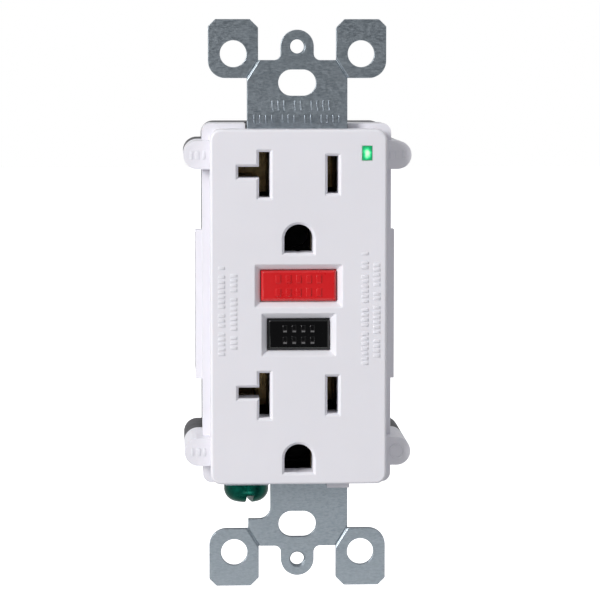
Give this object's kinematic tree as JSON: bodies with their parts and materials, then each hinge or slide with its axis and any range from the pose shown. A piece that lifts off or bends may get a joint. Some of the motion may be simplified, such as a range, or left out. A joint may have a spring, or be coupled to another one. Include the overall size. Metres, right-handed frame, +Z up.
{
  "type": "duplex receptacle",
  "caption": "Rectangular duplex ground-fault receptacle: white face with T slots and round earth holes, test and reset buttons, zinc strap, screw terminals.",
  "frame": {"origin": "centre of the strap's back plane, midway between the box screw slots", "axes": "+X to the right seen from the front, +Y into the wall, +Z up"},
  "size_m": [0.0426, 0.0347, 0.1068],
  "materials": {
    "face_plastic": "satin thermoplastic, cool white",
    "inner_plastic": "matt moulded",
    "rear_plastic": "matt moulded, dark grey",
    "strap_zinc": "zinc plated, blue-grey passivated",
    "reset_red": "satin",
    "test_black": "gloss",
    "steel": "zinc plated",
    "spring_steel": "bright drawn wire",
    "phosphor_bronze": "bright rolled",
    "brass": "bright rolled",
    "brass_screw": "bright plated",
    "nickel_screw": "bright nickel plated",
    "green_screw": "green passivated",
    "silver_alloy": "bright",
    "copper": "enamelled wire",
    "bobbin_nylon": "natural nylon",
    "black_plastic": "matt",
    "board": "solder mask",
    "light_pipe": "clear green",
    "led_lens": "diffused green",
    "resistor_body": "lacquered",
    "varistor_blue": "dipped epoxy",
    "capacitor_yellow": "moulded box",
    "capacitor_dark": "sleeve"
  },
  "bodies": {
    "housing": {"face_cover": "face_plastic", "separator": "inner_plastic", "rear_housing": "rear_plastic", "mounting_strap": "strap_zinc", "reset_spring": "spring_steel", "test_contact_post": "brass", "test_resistor": "resistor_body", "led_light_pipe": "light_pipe", "status_led": "led_lens", "load_hot_conductor": "brass", "load_neutral_conductor": "brass", "line_hot_terminal": "brass", "line_neutral_terminal": "brass", "line_hot_lead": "brass", "line_neutral_lead": "brass", "upper_ground_contact": "brass", "lower_ground_contact": "brass", "ground_contact_rivets": "brass", "circuit_board": "board", "sensor_case": "black_plastic", "sense_coil": "copper", "neutral_coil": "copper", "solenoid_frame": "steel", "solenoid_bobbin": "bobbin_nylon", "solenoid_winding": "copper", "plunger_spring": "spring_steel", "fixed_contacts": "silver_alloy", "control_chip": "black_plastic", "varistor": "varistor_blue", "film_capacitor": "capacitor_yellow", "filter_capacitor": "capacitor_dark", "thyristor": "black_plastic", "diodes": "black_plastic", "resistors": "resistor_body", "assembly_screws": "steel"},
    "reset_button": {"reset_button": "reset_red", "reset_pin": "steel"},
    "test_button": {"test_button": "test_black"},
    "test_blade": {"test_blade": "phosphor_bronze"},
    "ground_screw": {"ground_screw": "green_screw"},
    "solenoid_plunger": {"solenoid_plunger": "steel"},
    "latch_block": {"latch_block": "bobbin_nylon", "latch_spring": "spring_steel"},
    "latch_plate": {"latch_plate": "steel"},
    "hot_contact_arm": {"hot_contact_arm": "phosphor_bronze", "hot_moving_contact": "silver_alloy"},
    "neutral_contact_arm": {"neutral_contact_arm": "phosphor_bronze", "neutral_moving_contact": "silver_alloy"},
    "load_hot_screw": {"load_hot_screw": "brass_screw"},
    "load_hot_clamp": {"load_hot_clamp": "steel"},
    "load_neutral_screw": {"load_neutral_screw": "nickel_screw"},
    "load_neutral_clamp": {"load_neutral_clamp": "steel"},
    "line_hot_screw": {"line_hot_screw": "brass_screw"},
    "line_hot_clamp": {"line_hot_clamp": "steel"},
    "line_neutral_screw": {"line_neutral_screw": "nickel_screw"},
    "line_neutral_clamp": {"line_neutral_clamp": "steel"}
  },
  "joints": [
    {"name": "reset_press", "type": "slide", "parent": "housing", "child": "reset_button", "axis": [0, 1, 0], "range_m": [0, 0.002], "stiffness_N_per_m": 250, "springref_m": -0.002, "deforming": ["reset_spring"]},
    {"name": "test_press", "type": "slide", "parent": "housing", "child": "test_button", "axis": [0, 1, 0], "range_m": [0, 0.0013], "stiffness_N_per_m": 300, "springref_m": -0.001},
    {"name": "test_blade_flex", "type": "hinge", "parent": "housing", "child": "test_blade", "pos_m": [-0.0065, 0.00235, -0.00503], "axis": [0, 0, 1], "range_deg": [0, 9.4]},
    {"name": "trip_plunger", "type": "slide", "parent": "housing", "child": "solenoid_plunger", "axis": [0, 0, -1], "range_m": [0, 0.002], "stiffness_N_per_m": 60, "springref_m": -0.002, "deforming": ["plunger_spring"]},
    {"name": "latch_block_slide", "type": "slide", "parent": "housing", "child": "latch_block", "axis": [0, 1, 0], "range_m": [0, 0.0016]},
    {"name": "latch_plate_slide", "type": "slide", "parent": "latch_block", "child": "latch_plate", "axis": [0, 0, -1], "range_m": [0, 0.0021], "deforming": ["latch_spring"]},
    {"name": "hot_arm_flex", "type": "hinge", "parent": "housing", "child": "hot_contact_arm", "pos_m": [0.0096, 0.0141, -0.012], "axis": [-1, 0, 0], "range_deg": [0, 5.2]},
    {"name": "neutral_arm_flex", "type": "hinge", "parent": "housing", "child": "neutral_contact_arm", "pos_m": [-0.0096, 0.0141, -0.012], "axis": [-1, 0, 0], "range_deg": [0, 5.2]},
    {"name": "ground_screw_turn", "type": "hinge", "parent": "housing", "child": "ground_screw", "pos_m": [-0.0095, 0.0055, -0.0355], "axis": [0, 0, 1], "range_deg": [0, 360]},
    {"name": "load_hot_screw_turn", "type": "hinge", "parent": "housing", "child": "load_hot_screw", "pos_m": [0.0115, 0.017, 0.0198], "axis": [1, 0, 0], "range_deg": [-721, 1]},
    {"name": "load_hot_clamp_slide", "type": "slide", "parent": "housing", "child": "load_hot_clamp", "axis": [1, 0, 0], "range_m": [0, 0.00159]},
    {"name": "line_hot_screw_turn", "type": "hinge", "parent": "housing", "child": "line_hot_screw", "pos_m": [0.0115, 0.017, -0.0198], "axis": [1, 0, 0], "range_deg": [-721, 1]},
    {"name": "line_hot_clamp_slide", "type": "slide", "parent": "housing", "child": "line_hot_clamp", "axis": [1, 0, 0], "range_m": [0, 0.00159]},
    {"name": "load_neutral_screw_turn", "type": "hinge", "parent": "housing", "child": "load_neutral_screw", "pos_m": [-0.0115, 0.017, 0.0198], "axis": [-1, 0, 0], "range_deg": [-721, 1]},
    {"name": "load_neutral_clamp_slide", "type": "slide", "parent": "housing", "child": "load_neutral_clamp", "axis": [-1, 0, 0], "range_m": [0, 0.00159]},
    {"name": "line_neutral_screw_turn", "type": "hinge", "parent": "housing", "child": "line_neutral_screw", "pos_m": [-0.0115, 0.017, -0.0198], "axis": [-1, 0, 0], "range_deg": [-721, 1]},
    {"name": "line_neutral_clamp_slide", "type": "slide", "parent": "housing", "child": "line_neutral_clamp", "axis": [-1, 0, 0], "range_m": [0, 0.00159]}
  ],
  "couplings": [
    {"joint": "test_blade_flex", "follows": "test_press", "rad_per_m": 123},
    {"joint": "latch_block_slide", "follows": "trip_plunger", "ratio": 0.75},
    {"joint": "latch_plate_slide", "follows": "trip_plunger", "ratio": 1},
    {"joint": "hot_arm_flex", "follows": "trip_plunger", "rad_per_m": 44},
    {"joint": "neutral_arm_flex", "follows": "trip_plunger", "rad_per_m": 44},
    {"joint": "load_hot_screw_turn", "follows": "load_hot_clamp_slide", "rad_per_m": -7915.8},
    {"joint": "line_hot_screw_turn", "follows": "line_hot_clamp_slide", "rad_per_m": -7915.8},
    {"joint": "load_neutral_screw_turn", "follows": "load_neutral_clamp_slide", "rad_per_m": -7915.8},
    {"joint": "line_neutral_screw_turn", "follows": "line_neutral_clamp_slide", "rad_per_m": -7915.8}
  ]
}
